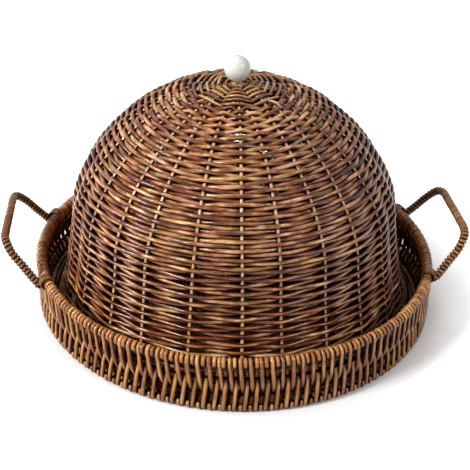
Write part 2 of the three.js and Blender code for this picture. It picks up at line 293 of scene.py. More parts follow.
def canes(name, runs, sides, draw, half_weave=stake_depth, dark_depth=0.0):
    curve = bpy.data.curves.new(name, "CURVE")
    curve.dimensions = "3D"
    curve.twist_mode = "MINIMUM"
    curve.bevel_depth = 1.0
    curve.bevel_resolution = (sides - 4) // 2
    angles = 2 * math.pi * np.arange(sides) / sides
    fibre = []
    tone = []
    centres = []
    ways = []
    offsets = []
    thickness = []
    for points, radii, closed, way, offset in runs:
        count = len(points)
        thickness.append(np.repeat(radii, sides))
        centres.append(np.repeat(points, sides, axis=0))
        ways.append(np.repeat(way, sides, axis=0))
        offsets.append(np.repeat(offset, sides))
        spline = curve.splines.new("POLY")
        spline.points.add(count - 1)
        spline.points.foreach_set("co", np.column_stack([points, np.ones(count)]).ravel())
        spline.points.foreach_set("radius", radii)
        spline.use_cyclic_u = closed
        along = length_along(points) * to_millimetres + draw.uniform(0, fibre_starts)
        ring = np.zeros((count, sides, 3))
        ring[:, :, 0] = along[:, None]
        ring[:, :, 1] = np.cos(angles) * radii[:, None] * to_millimetres
        ring[:, :, 2] = np.sin(angles) * radii[:, None] * to_millimetres
        fibre.append(ring.reshape(-1, 3))
        tone.append(np.full(count * sides, draw.random()))
    holder = bpy.data.objects.new(name, curve)
    scene.collection.objects.link(holder)
    shaped = holder.evaluated_get(bpy.context.evaluated_depsgraph_get())
    mesh = bpy.data.meshes.new_from_object(shaped)
    bpy.data.objects.remove(holder)
    mesh.name = name
    mesh.attributes.new("fibre", "FLOAT_VECTOR", "POINT")
    mesh.attributes["fibre"].data.foreach_set("vector", np.concatenate(fibre).ravel())
    mesh.attributes.new("tone", "FLOAT", "POINT")
    mesh.attributes["tone"].data.foreach_set("value", np.concatenate(tone))
    place = np.empty(len(mesh.vertices) * 3)
    mesh.vertices.foreach_get("co", place)
    place = place.reshape(-1, 3) - np.concatenate(centres)
    outward = (place * np.concatenate(ways)).sum(1)
    proud = np.concatenate(offsets) + outward + dark_depth
    proud = np.where(proud > 0, proud, -inner_share * proud)
    mesh.attributes.new("sunk", "FLOAT", "POINT")
    mesh.attributes["sunk"].data.foreach_set("value", 1 - proud / half_weave)
    mesh.attributes.new("flank", "FLOAT", "POINT")
    flank = 1 - np.abs(outward) / np.concatenate(thickness)
    mesh.attributes["flank"].data.foreach_set("value", flank)
    bm = bmesh.new()
    bm.from_mesh(mesh)
    open_edges = [edge for edge in bm.edges if edge.is_boundary]
    if open_edges:
        bmesh.ops.holes_fill(bm, edges=open_edges, sides=sides)
    bmesh.ops.recalc_face_normals(bm, faces=bm.faces)
    bm.to_mesh(mesh)
    bm.free()
    piece = bpy.data.objects.new(name, mesh)
    scene.collection.objects.link(piece)
    return piece


# A colour by its screen values from 0 to 255
def srgb(red, green, blue):
    return tuple((value / 255) ** 2.2 for value in (red, green, blue)) + (1.0,)


# Smoked cane: patches of shade along each strand, fine fibre streaks, and a glossy skin. The
# ramp goes from the darkest shade to the lightest, as (place, colour). Deep in the weave, and round
# the side of each cane, shade is painted on: a dark red-brown with less gloss, set by dark, as
# (from, to, share of colour kept), and on the side down to flank_share.
# Patterns have a length in millimetres, and so many to a millimetre across the cane.
patch_part = 0.62
patch_across = 0.22
streak_length = 14
streak_across = 2.6
fine_length = 5
fine_across = 6.0
fine_part = 0.5
hue_length = 31
hue_across = 0.16
hue_from = 0.35
hue_to = 0.62
side_from = 0.15
side_to = 0.7
painted_shade_colour = srgb(50, 14, 4)
streak_roughness = 0.25
painted_shade_roughness = 0.6
coat_roughness = 0.18
fibre_relief = 0.0002
fibre_strength = 0.5


def cane_finish(
    name,
    ramp,
    tone_share,
    patch_length=14.0,
    rough=0.32,
    coat=0.95,
    dark=(0.64, 0.95, 0.03),
    flank_share=0.06,
    hues=((1.0, 0.87, 0.94, 1), (0.96, 1.03, 0.72, 1)),
):
    material = bpy.data.materials.new(name)
    material.use_nodes = True
    nodes = material.node_tree.nodes
    links = material.node_tree.links
    surface = nodes["Principled BSDF"]

    place = nodes.new("ShaderNodeAttribute")
    place.attribute_name = "fibre"
    shade = nodes.new("ShaderNodeAttribute")
    shade.attribute_name = "tone"

    def noise(length, across, detail):
        stretch = nodes.new("ShaderNodeMapping")
        stretch.inputs["Scale"].default_value = (1 / length, across, across)
        links.new(place.outputs["Vector"], stretch.inputs["Vector"])
        texture = nodes.new("ShaderNodeTexNoise")
        texture.inputs["Scale"].default_value = 1.0
        texture.inputs["Detail"].default_value = detail
        links.new(stretch.outputs["Vector"], texture.inputs["Vector"])
        return texture.outputs["Fac"]

    def math_node(operation, first, second):
        node = nodes.new("ShaderNodeMath")
        node.operation = operation
        for socket, value in zip(node.inputs, (first, second)):
            if isinstance(value, (int, float)):
                socket.default_value = value
            else:
                links.new(value, socket)
        return node.outputs["Value"]

    # Patches, streaks and fine fibre, all drawn out along the cane
    patches = noise(patch_length, patch_across, 2.0)
    streaks = noise(streak_length, streak_across, 2.0)
    fine = noise(fine_length, fine_across, 1.0)
    own = math_node("SUBTRACT", shade.outputs["Fac"], 0.5)
    own = math_node("MULTIPLY", own, tone_share)
    broad = math_node("MULTIPLY", patches, patch_part)
    narrow = math_node("MULTIPLY", streaks, 1 - patch_part)
    mixed = math_node("ADD", math_node("ADD", broad, narrow), own)
    colours = nodes.new("ShaderNodeValToRGB")
    elements = colours.color_ramp.elements
    elements[0].position = ramp[0][0]
    elements[0].color = ramp[0][1]
    elements[1].position = ramp[-1][0]
    elements[1].color = ramp[-1][1]
    for position, colour in ramp[1:-1]:
        elements.new(position).color = colour
    links.new(mixed, colours.inputs["Fac"])
    # Painted shade: deep in the weave and on the sides of each cane the colour goes to a dark
    # red-brown, with less gloss
    deep = nodes.new("ShaderNodeAttribute")
    deep.attribute_name = "sunk"
    painted_shade = nodes.new("ShaderNodeMapRange")
    painted_shade.interpolation_type = "SMOOTHSTEP"
    painted_shade.inputs["From Min"].default_value = dark[0]
    painted_shade.inputs["From Max"].default_value = dark[1]
    painted_shade.inputs["To Min"].default_value = 1.0
    painted_shade.inputs["To Max"].default_value = dark[2]
    links.new(deep.outputs["Fac"], painted_shade.inputs["Value"])
    turned = nodes.new("ShaderNodeAttribute")
    turned.attribute_name = "flank"
    side_shade = nodes.new("ShaderNodeMapRange")
    side_shade.inputs["From Min"].default_value = side_from
    side_shade.inputs["From Max"].default_value = side_to
    side_shade.inputs["To Min"].default_value = 1.0
    side_shade.inputs["To Max"].default_value = flank_share
    links.new(turned.outputs["Fac"], side_shade.inputs["Value"])
    unshaded = math_node("MULTIPLY", painted_shade.outputs["Result"], side_shade.outputs["Result"])
    shaded_colour = nodes.new("ShaderNodeMix")
    shaded_colour.data_type = "RGBA"
    shaded_colour.inputs["A"].default_value = painted_shade_colour
    hue = nodes.new("ShaderNodeValToRGB")
    hue.color_ramp.elements[0].position = hue_from
    hue.color_ramp.elements[0].color = hues[0]
    hue.color_ramp.elements[1].position = hue_to
    hue.color_ramp.elements[1].color = hues[1]
    links.new(noise(hue_length, hue_across, 1.0), hue.inputs["Fac"])
    tinted = nodes.new("ShaderNodeVectorMath")
    tinted.operation = "MULTIPLY"
    links.new(colours.outputs["Color"], tinted.inputs[0])
    links.new(hue.outputs["Color"], tinted.inputs[1])
    links.new(tinted.outputs["Vector"], shaded_colour.inputs["B"])
    links.new(unshaded, shaded_colour.inputs["Factor"])
    links.new(shaded_colour.outputs["Result"], surface.inputs["Base Color"])
    dull = math_node("MULTIPLY", math_node("SUBTRACT", 1.0, unshaded), painted_shade_roughness)
    streaked = math_node("MULTIPLY", streaks, streak_roughness)
    roughness = math_node("ADD", streaked, rough - streak_roughness / 2)
    links.new(math_node("ADD", roughness, dull), surface.inputs["Roughness"])
    bump = nodes.new("ShaderNodeBump")
    bump.inputs["Strength"].default_value = fibre_strength
    bump.inputs["Distance"].default_value = fibre_relief
    fibres = math_node("ADD", streaks, math_node("MULTIPLY", fine, fine_part))
    links.new(fibres, bump.inputs["Height"])
    links.new(bump.outputs["Normal"], surface.inputs["Normal"])
    links.new(math_node("MULTIPLY", unshaded, coat), surface.inputs["Coat Weight"])
    surface.inputs["Coat Roughness"].default_value = coat_roughness
    surface.inputs["Specular IOR Level"].default_value = 0.0
    return material


# Where each stake stands: its azimuth at a length along the dome's line. The stakes stand a
# little off their even places, at the front by given angles in degrees, and near the crown
# they close up in threes.
drift_size = math.radians(0.5)
draw = np.random.default_rng(11)
stake_drift = draw.normal(0, drift_size, stake_count)
front_stake = 18
seen_drift = {-3: 0.7, -2: -1.1, -1: 0.2, 0: 1.4, 1: -0.9, 2: -0.4}
for step, degrees in seen_drift.items():
    stake_drift[(front_stake + step) % stake_count] = math.radians(degrees)


def stake_azimuth(number, along):
    radius = np.interp(along, line_length, line_radius)
    even = lid_turn + 2 * math.pi * number / stake_count + stake_drift[number % stake_count]
    group = round(number / stakes_per_bundle)
    central = stakes_per_bundle * group
    middle = lid_turn + 2 * math.pi * group / bundle_count + stake_drift[central % stake_count]
    tight = middle + np.arcsin((number - central) * bundle_pitch / radius)
    share = np.clip((radius - bundle_open_from) / (bundle_open_to - bundle_open_from), 0, 1)
    share = share * share * (3 - 2 * share)
    return tight + (even - tight) * share


# The stakes get painted shade on their sides, where the weavers pass over them
stake_finish = cane_finish(
    "stake_cane",
    [(0.2, srgb(166, 118, 84)), (0.5, srgb(222, 176, 138)), (0.8, srgb(248, 214, 184))],
    tone_share=0.2,
    rough=0.45,
    dark=(0.72, 1.0, 0.3),
    hues=((1.0, 0.96, 0.98, 1), (1.0, 1.0, 0.95, 1)),
)
for number in range(stake_count):
    along = np.linspace(0, length_at_radius(stake_end), stake_steps)
    azimuth = stake_azimuth(number, along)
    azimuth = azimuth + stake_sway * np.sin(along / stake_sway_length + stake_sway_step * number)
    points = on_dome(along, stake_depth, azimuth)
    radii = stake_radius * (1 + stake_swell * np.sin(along / stake_swell_length + number))
    way = out_of_dome(along, azimuth)
    run = (points, radii, False, way, np.zeros(stake_steps))
    stake = canes(f"stake_{number + 1:02d}", [run], cane_sides, draw)
    stake.data.materials.append(stake_finish)
    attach(stake, "lid")
    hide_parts(f"dome_stake_{number + 1:02d}")


# Dome weave
# Some 66 rows of round smoked weavers. Each goes in front of one stake and behind the next, and
# the row above does the opposite. Shade and thickness differ from weaver to weaver.
row_pitch = 0.00403
row_first = 0.0028
crown_edge = 0.0448
steps_per_stake = 8
span_radius = 0.00192
crossing_radius = 0.00172
weaver_spread = 0.06
weaver_thinnest = 0.89
weaver_thickest = 1.1
weaver_swell = 0.03
weave_swing = 0.0031
swing_peaking = 0.12
# The painted shade in the weave is darkest this far under its middle
weave_dark_depth = 0.8 * weave_swing

# Rows lie uneven, more so near the foot, and each follows the row below it
row_lift = 0.00012
low_row_lift = 0.00022
low_rows = 24
lift_kept = 0.75
lift_most = 0.0009
row_sag = 0.00028

# Weavers are fuller high up, and at the sides and the back, which closes the weave there
top_fullness = 0.25
top_from_row = 26
back_fullness = 0.26
back_slope = 1.5
back_start = 0.45

back_stake = 6
draw = np.random.default_rng(21)
row_places = np.arange(row_first, length_at_radius(crown_edge), row_pitch)
weave_finish = cane_finish(
    "dome_rattan",
    [
        (0.3, srgb(56, 18, 6)),
        (0.41, srgb(94, 43, 18)),
        (0.5, srgb(138, 81, 43)),
        (0.59, srgb(193, 138, 96)),
        (0.72, srgb(250, 206, 170)),
    ],
    tone_share=0.12,
)
rows = []
lift = np.zeros(stake_count * steps_per_stake)
for row, place in enumerate(row_places):
    at_stake = [stake_azimuth(back_stake + step, place) for step in range(stake_count)]
    at_stake.append(at_stake[0] + 2 * math.pi)
    fraction = np.arange(stake_count * steps_per_stake) / steps_per_stake
    azimuth = np.interp(fraction, np.arange(stake_count + 1), np.unwrap(at_stake))
    phase = math.pi * (fraction + row + 1)
    swing = (1 - swing_peaking) * np.cos(phase) + swing_peaking * np.cos(3 * phase)
    size = row_lift + low_row_lift * np.clip(1 - row / low_rows, 0, 1)
    lift = lift_kept * lift + wobble(draw, azimuth, size, (1, 2, 3, 5, 7, 11))
    sag = wobble(draw, azimuth, row_sag, (13, 17, 23, 29))
    along = place + np.clip(lift, -lift_most, lift_most) + sag
    span = np.sqrt(1 - np.clip(swing, -1, 1) ** 2)
    radii = crossing_radius + (span_radius - crossing_radius) * span
    behind = np.clip(np.sin(azimuth) * back_slope + back_start, 0, 1)
    fuller = back_fullness * behind * (1 + swing ** 2)
    fuller = np.maximum(fuller, top_fullness * np.clip(row / top_from_row - 1, 0, 1))
    radii = radii * (1 + fuller)
    radii = radii * np.clip(draw.normal(1.0, weaver_spread), weaver_thinnest, weaver_thickest)
    radii = radii * (1 + wobble(draw, azimuth, weaver_swell, (2, 5, 9)))
    offset = weave_swing * swing
    points = on_dome(along, stake_depth - offset, azimuth)
    rows.append((points, radii, True, out_of_dome(along, azimuth), offset))
third = len(rows) // 3 + 1
for part, name in enumerate(("weave_low", "weave_middle", "weave_high")):
    some_rows = rows[part * third:(part + 1) * third]
    weave = canes(name, some_rows, cane_sides, draw, dark_depth=weave_dark_depth)
    weave.data.materials.append(weave_finish)
    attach(weave, "lid")
    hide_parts("dome_weave")


# Crown
# Eight bundles of three stakes cross under the knob. Pairs of weavers are twined round them:
# at each bundle one goes over and the other under, and they cross between the bundles.
crown_rows = [0.0102, 0.0163, 0.0224, 0.0285, 0.0346, 0.0411]
crown_radius = 0.0017
crown_thinnest = 0.94
crown_thickest = 1.12
crown_swing = 0.0034
crown_sway = 0.0009
crown_wobble = 0.0002
steps_per_bundle = 16
draw = np.random.default_rng(31)
runs = []
for row, ring_radius in enumerate(crown_rows):
    for strand in (0, 1):
        turns = np.arange(bundle_count * steps_per_bundle) / (bundle_count * steps_per_bundle)
        azimuth = lid_turn + math.pi / 2 + 2 * math.pi * turns
        phase = bundle_count * math.pi * turns + math.pi * (strand + row)
        radius = ring_radius + crown_sway * np.sin(phase)
        along = length_at_radius(radius + wobble(draw, azimuth, crown_wobble, (1, 2, 3)))
        offset = crown_swing * np.cos(phase)
        points = on_dome(along, stake_depth - offset, azimuth)
        thick = crown_radius * draw.uniform(crown_thinnest, crown_thickest)
        radii = np.full(len(points), thick)
        runs.append((points, radii, True, out_of_dome(along, azimuth), offset))
crown_finish = cane_finish(
    "crown_rattan",
    [
        (0.2, srgb(58, 29, 18)),
        (0.4, srgb(122, 76, 48)),
        (0.56, srgb(180, 126, 82)),
        (0.76, srgb(230, 182, 132)),
    ],
    tone_share=0.25,
    dark=(0.55, 0.95, 0.03),
)
crown = canes("crown_twining", runs, cane_sides, draw)
crown.data.materials.append(crown_finish)
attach(crown, "lid")
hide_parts("crown_weave")

# Two ends of cane lie on the crown where the weaver took a new one, as (from, to)
loose_ends = [
    ((0.0265, -0.0350), (0.0363, -0.0422)),
    ((-0.0180, -0.0045), (-0.0125, 0.0105)),
]
end_points = 9
end_radius = 0.0014
end_depth = -0.0012
end_dive = 0.002
runs = []
for first, last in loose_ends:
    t = np.linspace(0, 1, end_points)
    x = first[0] + (last[0] - first[0]) * t
    y = first[1] + (last[1] - first[1]) * t
    along = length_at_radius(np.hypot(x, y))
    azimuth = np.arctan2(y, x)
    points = on_dome(along, end_depth + end_dive * (2 * t - 1) ** 2, azimuth)
    radii = np.full(end_points, end_radius)
    offset = np.full(end_points, stake_depth)
    runs.append((points, radii, False, out_of_dome(along, azimuth), offset))
ends = canes("crown_cane_ends", runs, cane_sides, draw)
ends.data.materials.append(stake_finish)
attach(ends, "lid")

# The crossed bundles under the twining. In the middle each lies a little under the one before it.
bundle_points = 31
bundle_reach = 0.0375
bundle_dip = 0.0011
bundle_dip_reach = 0.02


# The way up, at each point of a cane that lies flat
def straight_up(count):
    return np.tile([0.0, 0.0, 1.0], (count, 1))


runs = []
for group in range(bundle_count // 2):
    direction = lid_turn + 2 * math.pi * group / bundle_count
    for side in (-1, 0, 1):
        reach = np.linspace(-bundle_reach, bundle_reach, bundle_points)
        edge = length_at_radius(np.hypot(reach, side * bundle_pitch))
        dip = bundle_dip * group * np.clip(1 - np.abs(reach) / bundle_dip_reach, 0, 1)
        height = on_dome(edge, stake_depth, np.zeros(bundle_points))[:, 2] - dip
        x = reach * math.cos(direction) - side * bundle_pitch * math.sin(direction)
        y = reach * math.sin(direction) + side * bundle_pitch * math.cos(direction)
        points = np.stack([x, y, height], -1)
        radii = np.full(bundle_points, stake_radius)
        runs.append((points, radii, False, straight_up(bundle_points), np.zeros(bundle_points)))
cross = canes("crown_bundles", runs, cane_sides, draw)
cross.data.materials.append(stake_finish)
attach(cross, "lid")
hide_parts("crown_cross")


# Dome hoop
# The foot of the dome, which stands on the floor of the tray: a ring of stick under the ends of
# the stakes, with one weaver wound tightly round it.
hoop_radius = 0.1765
hoop_height = 0.0088
hoop_core = 0.0013
hoop_points = 180
hoop_wrap = 0.0012
hoop_wrap_bite = 0.1
hoop_wrap_middle = hoop_core + hoop_wrap * (1 - hoop_wrap_bite)
hoop_turns = 280
points_per_turn = 9
hoop_half_weave = 0.0036
draw = np.random.default_rng(41)
azimuth = 2 * math.pi * np.arange(hoop_points) / hoop_points
core = ring_points(hoop_radius, azimuth, hoop_height)
radii = np.full(hoop_points, hoop_core)
runs = [(core, radii, True, straight_up(hoop_points), np.zeros(hoop_points))]
count = hoop_turns * points_per_turn
azimuth = 2 * math.pi * np.arange(count) / count
winding = hoop_turns * azimuth
way = ring_points(np.cos(winding), azimuth, np.sin(winding))
wound = ring_points(hoop_radius, azimuth, hoop_height) + hoop_wrap_middle * way
runs.append((wound, np.full(count, hoop_wrap), True, way, np.full(count, hoop_wrap_middle)))
hoop = canes("dome_foot_wrapped", runs, fine_cane_sides, draw, half_weave=hoop_half_weave)
hoop.data.materials.append(weave_finish)
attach(hoop, "lid")
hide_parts("dome_hoop")


# Knob
# A white ball of glazed clay with a flat foot and a blind bore. It is screwed down from under
# the crown, with a steel screw and a washer that spreads its pull on the canes.
knob_radius = 0.0125
knob_middle = 0.2425
knob_foot_radius = 0.0045
knob_arc_steps = 28
knob_turn_steps = 56
knob_merge = 0.00001
bore_radius = 0.0023
bore_top = 0.2379
glaze_shade = srgb(208, 208, 201)
glaze_light = srgb(222, 222, 216)
glaze_cloud = 90
glaze_roughness = 0.35
glaze_clear = 0.95
glaze_depth = 0.014
glaze_coat = 0.2
glaze_coat_roughness = 0.15
mesh = bpy.data.meshes.new("knob")
bm = bmesh.new()
foot_angle = math.asin(knob_foot_radius / knob_radius)
foot_height = knob_middle - knob_radius * math.cos(foot_angle)
profile = [(0, bore_top), (bore_radius, bore_top), (bore_radius, foot_height)]
for step in range(knob_arc_steps + 1):
    angle = foot_angle + (math.pi - foot_angle) * step / knob_arc_steps
    profile.append((knob_radius * math.sin(angle), knob_middle - knob_radius * math.cos(angle)))
verts = [bm.verts.new((max(radius, 0.0), 0, height)) for radius, height in profile]
edges = [bm.edges.new(pair) for pair in zip(verts, verts[1:])]
bmesh.ops.spin(
    bm,
    geom=verts + edges,
    cent=(0, 0, 0),
    axis=(0, 0, 1),
    angle=2 * math.pi,
    steps=knob_turn_steps,
    use_merge=True,
)
bmesh.ops.remove_doubles(bm, verts=bm.verts, dist=knob_merge)
bmesh.ops.recalc_face_normals(bm, faces=bm.faces)
for face in bm.faces:
    face.smooth = True
bm.to_mesh(mesh)
bm.free()
knob = bpy.data.objects.new("knob", mesh)
scene.collection.objects.link(knob)
glaze = bpy.data.materials.new("knob_glaze")
glaze.use_nodes = True
nodes = glaze.node_tree.nodes
links = glaze.node_tree.links
surface = nodes["Principled BSDF"]
place = nodes.new("ShaderNodeTexCoord")
cloud = nodes.new("ShaderNodeTexNoise")
cloud.inputs["Scale"].default_value = glaze_cloud
tint = nodes.new("ShaderNodeValToRGB")
tint.color_ramp.elements[0].color = glaze_shade
tint.color_ramp.elements[1].color = glaze_light
links.new(place.outputs["Object"], cloud.inputs["Vector"])
links.new(cloud.outputs["Fac"], tint.inputs["Fac"])
links.new(tint.outputs["Color"], surface.inputs["Base Color"])
surface.inputs["Roughness"].default_value = glaze_roughness
surface.inputs["Subsurface Weight"].default_value = glaze_clear
surface.inputs["Subsurface Radius"].default_value = (1, 1, 1)
surface.inputs["Subsurface Scale"].default_value = glaze_depth
surface.inputs["Coat Weight"].default_value = glaze_coat
surface.inputs["Coat Roughness"].default_value = glaze_coat_roughness
mesh.materials.append(glaze)
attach(knob, "lid")
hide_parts("knob_ball")

# The screw and the washer are hidden under the crown. They keep their CAD shape, in plain steel.
steel_shade = (0.42, 0.43, 0.45, 1)
steel_light = (0.62, 0.63, 0.65, 1)
steel_brush = 400
steel_roughness = 0.35
steel = bpy.data.materials.new("screw_steel")
steel.use_nodes = True
nodes = steel.node_tree.nodes
links = steel.node_tree.links
surface = nodes["Principled BSDF"]
surface.inputs["Metallic"].default_value = 1.0
place = nodes.new("ShaderNodeTexCoord")
brushed = nodes.new("ShaderNodeTexNoise")
brushed.inputs["Scale"].default_value = steel_brush
tint = nodes.new("ShaderNodeValToRGB")
tint.color_ramp.elements[0].color = steel_shade
tint.color_ramp.elements[1].color = steel_light
links.new(place.outputs["Object"], brushed.inputs["Vector"])
links.new(brushed.outputs["Fac"], tint.inputs["Fac"])
links.new(tint.outputs["Color"], surface.inputs["Base Color"])
surface.inputs["Roughness"].default_value = steel_roughness
for name in ("knob_screw", "knob_washer"):
    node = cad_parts[name]
    node.data.materials.clear()
    node.data.materials.append(steel)


# Tray wall
# Some 270 canes stand side by side round four rings of stick. Each wraps over the rim, and below
# it changes sides of the wall at half height, every other one the other way round.
rim_radius = 0.195
rim_height = 0.0525
wall_cane_count = 270
wall_cane_radius = 0.0020
wall_leg_radius = 0.00205
wall_leg_from = 0.012
wall_leg_to = 0.042
wall_leg_fade = 0.006
wall_cut_end = 0.75
wall_thinnest = 0.9
wall_thickest = 1.1
wall_thickness_spread = 0.05
wall_spread = 0.0017
wall_steps = 30
section_steps = 12
oval = 0.028
oval_axis = math.radians(-49.8)

# Outside the canes lean sideways, most at the left front and the other way at the right back
lean_reach = 0.0034
lean_most_at = math.radians(-142.78)
lean_spread = 0.0024

# Canes get painted shade near the middle line of the wall, which goes from wall_foot up to the
# rim, and on the inner side below the rim
wall_foot = 0.005
least_reach = 0.0005
inner_shade = 1.25
inner_shade_from = 0.053
inner_shade_fade = 0.006


# The tray is a little out of round, as woven
def settle(points):
    long_way = np.array([math.cos(oval_axis), math.sin(oval_axis), 0])
    short_way = np.array([-math.sin(oval_axis), math.cos(oval_axis), 0])
    stretch = np.outer(points @ long_way, long_way) - np.outer(points @ short_way, short_way)
    return points + 0.5 * oval * stretch


# Points at even steps of length along a line
def even_points(line, count):
    length = length_along(line)
    even = np.linspace(0, length[-1], count)
    return np.stack([np.interp(even, length, line[:, k]) for k in range(line.shape[1])], -1)


# A smooth line through a few points, by even steps of length
def smooth_line(points, count):
    points = np.asarray(points, float)
    padded = np.vstack([2 * points[0] - points[1], points, 2 * points[-1] - points[-2]])
    fine = []
    for i in range(len(points) - 1):
        a, b, c, d = padded[i:i + 4]
        t = np.linspace(0, 1, section_steps, endpoint=False)[:, None]
        bend = 2 * b + (c - a) * t + (2 * a - 5 * b + 4 * c - d) * t ** 2
        fine.append(0.5 * (bend + (3 * b - a - 3 * c + d) * t ** 3))
    return even_points(np.vstack(fine + [points[-1:]]), count)


# The two ways of a cane through the wall, as (out from the middle of the wall and height, both in
# millimetres, share of the lean). The first is outside above half height, the second below it.
upper_out = [
    (3.2, 8, 0.3), (3.4, 3.6, 0.3), (0.2, 1.9, 0.4), (-3.0, 5, 0.6), (-3.2, 15, 1.2), (0.2, 23, 1.1),
    (2.6, 30, 0.87), (3.2, 38, 0.55), (3.0, 46, 0.27), (3.3, 52.5, 0), (0, 55.6, 0), (-3.1, 52.3, 0),
    (-3.1, 43, 0),
]
lower_out = [
    (-3.2, 8, 0.3), (0, 2.0, 0), (3.2, 4.5, 0), (3.3, 14, 0.45), (3.0, 21, 0.75), (1.8, 28, 1.05),
    (-0.6, 33, 1.1), (-3.0, 40, 0.9), (-1.4, 46, 0.5), (3.2, 51.5, 0), (0, 55.6, 0), (-3.1, 52, 0),
    (-3.1, 43, 0),
]
wall_finish = cane_finish(
    "wall_rattan",
    [
        (0.2, srgb(92, 43, 21)),
        (0.4, srgb(150, 88, 49)),
        (0.55, srgb(202, 136, 82)),
        (0.7, srgb(234, 175, 114)),
        (0.85, srgb(252, 212, 156)),
    ],
    tone_share=0.19,
    dark=(0.5, 0.98, 0.09),
    flank_share=0.2,
    hues=((1.0, 0.9, 0.92, 1), (0.95, 1.03, 0.78, 1)),
)
draw = np.random.default_rng(51)
runs = []
sections = [smooth_line(upper_out, wall_steps), smooth_line(lower_out, wall_steps)]
for number in range(wall_cane_count):
    line = sections[number % 2]
    azimuth = 2 * math.pi * number / wall_cane_count + draw.normal(0, wall_spread)
    lean = lean_reach * math.cos(azimuth - lean_most_at) / rim_radius
    lean += draw.normal(0, lean_spread)
    azimuth = azimuth + lean * line[:, 2]
    out = line[:, 0] / to_millimetres
    height = line[:, 1] / to_millimetres
    points = ring_points(rim_radius + out, azimuth, height)
    past_leg = np.maximum(wall_leg_from - height, height - wall_leg_to)
    bend = np.clip(past_leg / wall_leg_fade, 0, 1)
    radii = wall_leg_radius + (wall_cane_radius - wall_leg_radius) * bend
    radii = radii * np.clip(draw.normal(1, wall_thickness_spread), wall_thinnest, wall_thickest)
    radii[[0, -1]] *= wall_cut_end
    above = height - np.clip(height, wall_foot, rim_height)
    reach = np.hypot(out, above)
    turned_out = np.where(reach > least_reach, out / np.maximum(reach, least_reach), 1)
    turned_up = np.where(reach > least_reach, above / np.maximum(reach, least_reach), 0)
    way = ring_points(turned_out, azimuth, turned_up)
    # Painted shade on the inner side of the wall, below the rim
    inside = (out < 0) * np.clip((inner_shade_from - height) / inner_shade_fade, 0, 1)
    runs.append((settle(points), radii, False, way, reach * (1 - inner_shade * inside)))
half = wall_cane_count // 2
for name, part in (("wall_canes_a", runs[:half]), ("wall_canes_b", runs[half:])):
    wall = canes(name, part, fine_cane_sides, draw)
    wall.data.materials.append(wall_finish)
    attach(wall, "tray")
    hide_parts("tray_wall_weave")

# The rings of stick inside the wall, as (piece, node that it replaces, height, radius)
ring_steps = 160
# Dull dark core cane for the sticks inside the weave. Its darkness is partly painted shade, as they
# lie deep in it
ring_finish = cane_finish(
    "core_cane",
    [(0.3, srgb(80, 46, 29)), (0.7, srgb(132, 86, 53))],
    tone_share=0.2,
    rough=0.6,
    coat=0.1,
    dark=(0.3, 0.8, 0.1),
)
rings = [
    ("rim_stick", "rim_core", rim_height, 0.0016),
    ("upper_ring_stick", "wall_ring_upper", 0.035, 0.0016),
    ("lower_ring_stick", "wall_ring_lower", 0.018, 0.0016),
    ("base_ring_stick", "base_ring", 0.0052, 0.0013),
]
draw = np.random.default_rng(52)
for name, node, height, radius in rings:
    azimuth = 2 * math.pi * np.arange(ring_steps) / ring_steps
    points = settle(ring_points(rim_radius, azimuth, height))
    way = ring_points(1, azimuth, 0)
    run = (points, np.full(ring_steps, radius), True, way, np.zeros(ring_steps))
    ring = canes(name, [run], cane_sides, draw)
    ring.data.materials.append(ring_finish)
    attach(ring, "tray")
    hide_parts(node)


# Tray floor
# A flat round weave over eight sticks that start at a centre cross, with two sticks added in
# each space between them. It is hidden under the lid, and its cane is a darker brown, partly
# painted shade for the floor in the shade of the lid.
floor_middle = 0.0034
floor_outer = 0.1882
floor_inner = 0.0215
floor_pitch = 0.0041
floor_cane_radius = 0.0021
floor_thinnest = 0.9
floor_thickest = 1.1
floor_swing = 0.0012
floor_wobble = 0.0003
floor_half_weave = 0.003
floor_stick_count = 24
steps_per_stick = 6
draw = np.random.default_rng(61)
runs = []
for row, radius in enumerate(np.arange(floor_outer, floor_inner, -floor_pitch)):
    turns = np.arange(floor_stick_count * steps_per_stick) / steps_per_stick
    azimuth = 2 * math.pi * turns / floor_stick_count
    lift = floor_swing * np.cos(math.pi * (turns + row))
    radius = radius + wobble(draw, azimuth, floor_wobble, (2, 3, 5))
    points = ring_points(radius, azimuth, floor_middle + lift)
    thick = floor_cane_radius * draw.uniform(floor_thinnest, floor_thickest)
    radii = np.full(len(points), thick)
    runs.append((settle(points), radii, True, straight_up(len(points)), lift))
floor_finish = cane_finish(
    "floor_rattan",
    [(0.25, srgb(58, 32, 20)), (0.5, srgb(104, 66, 40)), (0.8, srgb(156, 110, 70))],
    tone_share=0.2,
    coat=0.5,
    dark=(0.3, 0.9, 0.05),
)
floor = canes("floor_weave", runs, fine_cane_sides, draw, half_weave=floor_half_weave)
floor.data.materials.append(floor_finish)
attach(floor, "tray")
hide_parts("tray_floor_weave")

# The sticks that the floor is woven on
stick_points = 24
stick_radius = 0.0015
stick_height = 0.0036
main_stick_from = 0.0195
added_stick_from = 0.045
stick_to = 0.187
main_stick_every = 3
for number in range(floor_stick_count):
    main = number % main_stick_every == 0
    azimuth = np.full(stick_points, 2 * math.pi * number / floor_stick_count)
    reach = np.linspace(main_stick_from if main else added_stick_from, stick_to, stick_points)
    points = settle(ring_points(reach, azimuth, stick_height))
    radii = np.full(stick_points, stick_radius)
    run = (points, radii, False, straight_up(stick_points), np.zeros(stick_points))
    name = f"floor_stick_{number + 1:02d}"
    spoke = canes(name, [run], cane_sides, draw, half_weave=floor_half_weave)
    spoke.data.materials.append(ring_finish)
    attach(spoke, "tray")
    if main:
        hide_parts(f"floor_spoke_{number // main_stick_every + 1}")

